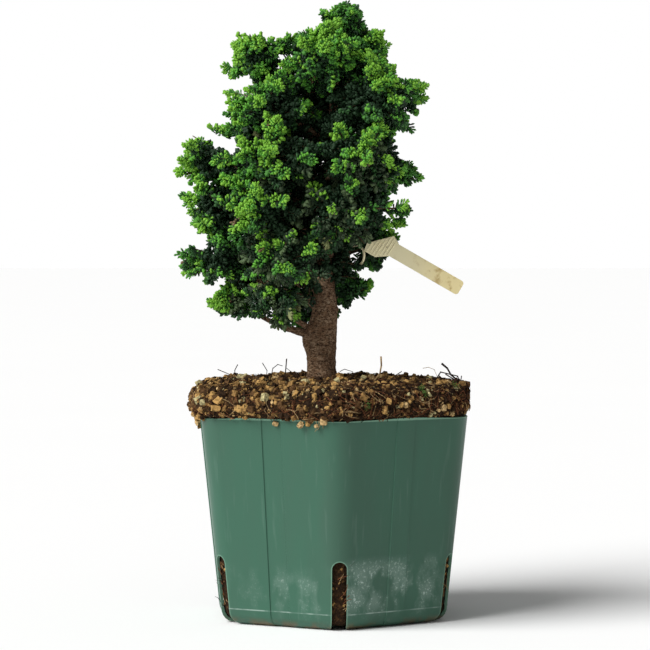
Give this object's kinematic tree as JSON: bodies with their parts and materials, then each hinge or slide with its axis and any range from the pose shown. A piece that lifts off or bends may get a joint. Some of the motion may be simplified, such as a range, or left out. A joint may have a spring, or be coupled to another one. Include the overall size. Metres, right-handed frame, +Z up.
{
  "type": "potted dwarf hinoki cypress",
  "caption": "Young dwarf cypress with a short bare trunk and a dense upright crown of fan-like sprays, in a tapered hexagonal nursery pot with slotted corners and a blank name tag.",
  "frame": {"origin": "middle of the flat underside of the pot", "axes": "+Z up along the trunk, -Y towards the front, where one corner of the pot points, +X to the right, where the name tag points"},
  "size_m": [0.1207, 0.1262, 0.2556],
  "materials": {
    "pot": "satin moulded green plastic with a few pale lime scuffs",
    "soil": "rough clay grains with dark root fibres",
    "bark": "rough grey-brown bark",
    "needles": "matt scale leaves, bright green at the tips and dark inside",
    "label": "aged cream plastic"
  },
  "bodies": {
    "root": {"bough_low_1": "bark", "bough_low_2": "bark", "bough_low_3": "bark", "bough_low_4": "bark", "bough_low_5": "bark", "bough_middle_1": "bark", "bough_middle_2": "bark", "bough_middle_3": "bark", "bough_middle_4": "bark", "bough_middle_5": "bark", "bough_middle_6": "bark", "bough_skirt_2": "bark", "bough_skirt_3": "bark", "bough_skirt_4": "bark", "bough_waist_1": "bark", "bough_waist_2": "bark", "bough_waist_3": "bark", "bough_waist_4": "bark", "bough_waist_5": "bark", "bough_waist_6": "bark", "foliage_low_1": "needles", "foliage_low_2": "needles", "foliage_low_3": "needles", "foliage_low_4": "needles", "foliage_low_5": "needles", "foliage_middle_1": "needles", "foliage_middle_2": "needles", "foliage_middle_3": "needles", "foliage_middle_4": "needles", "foliage_middle_5": "needles", "foliage_middle_6": "needles", "foliage_shoulder_1": "needles", "foliage_shoulder_2": "needles", "foliage_shoulder_3": "needles", "foliage_shoulder_4": "needles", "foliage_shoulder_5": "needles", "foliage_skirt_1": "needles", "foliage_skirt_2": "needles", "foliage_skirt_3": "needles", "foliage_skirt_4": "needles", "foliage_top": "needles", "foliage_upper_1": "needles", "foliage_upper_2": "needles", "foliage_upper_3": "needles", "foliage_upper_4": "needles", "foliage_waist_1": "needles", "foliage_waist_2": "needles", "foliage_waist_3": "needles", "foliage_waist_4": "needles", "foliage_waist_5": "needles", "foliage_waist_6": "needles", "label": "label", "pot": "pot", "soil": "soil", "trunk": "bark"}
  },
  "joints": []
}
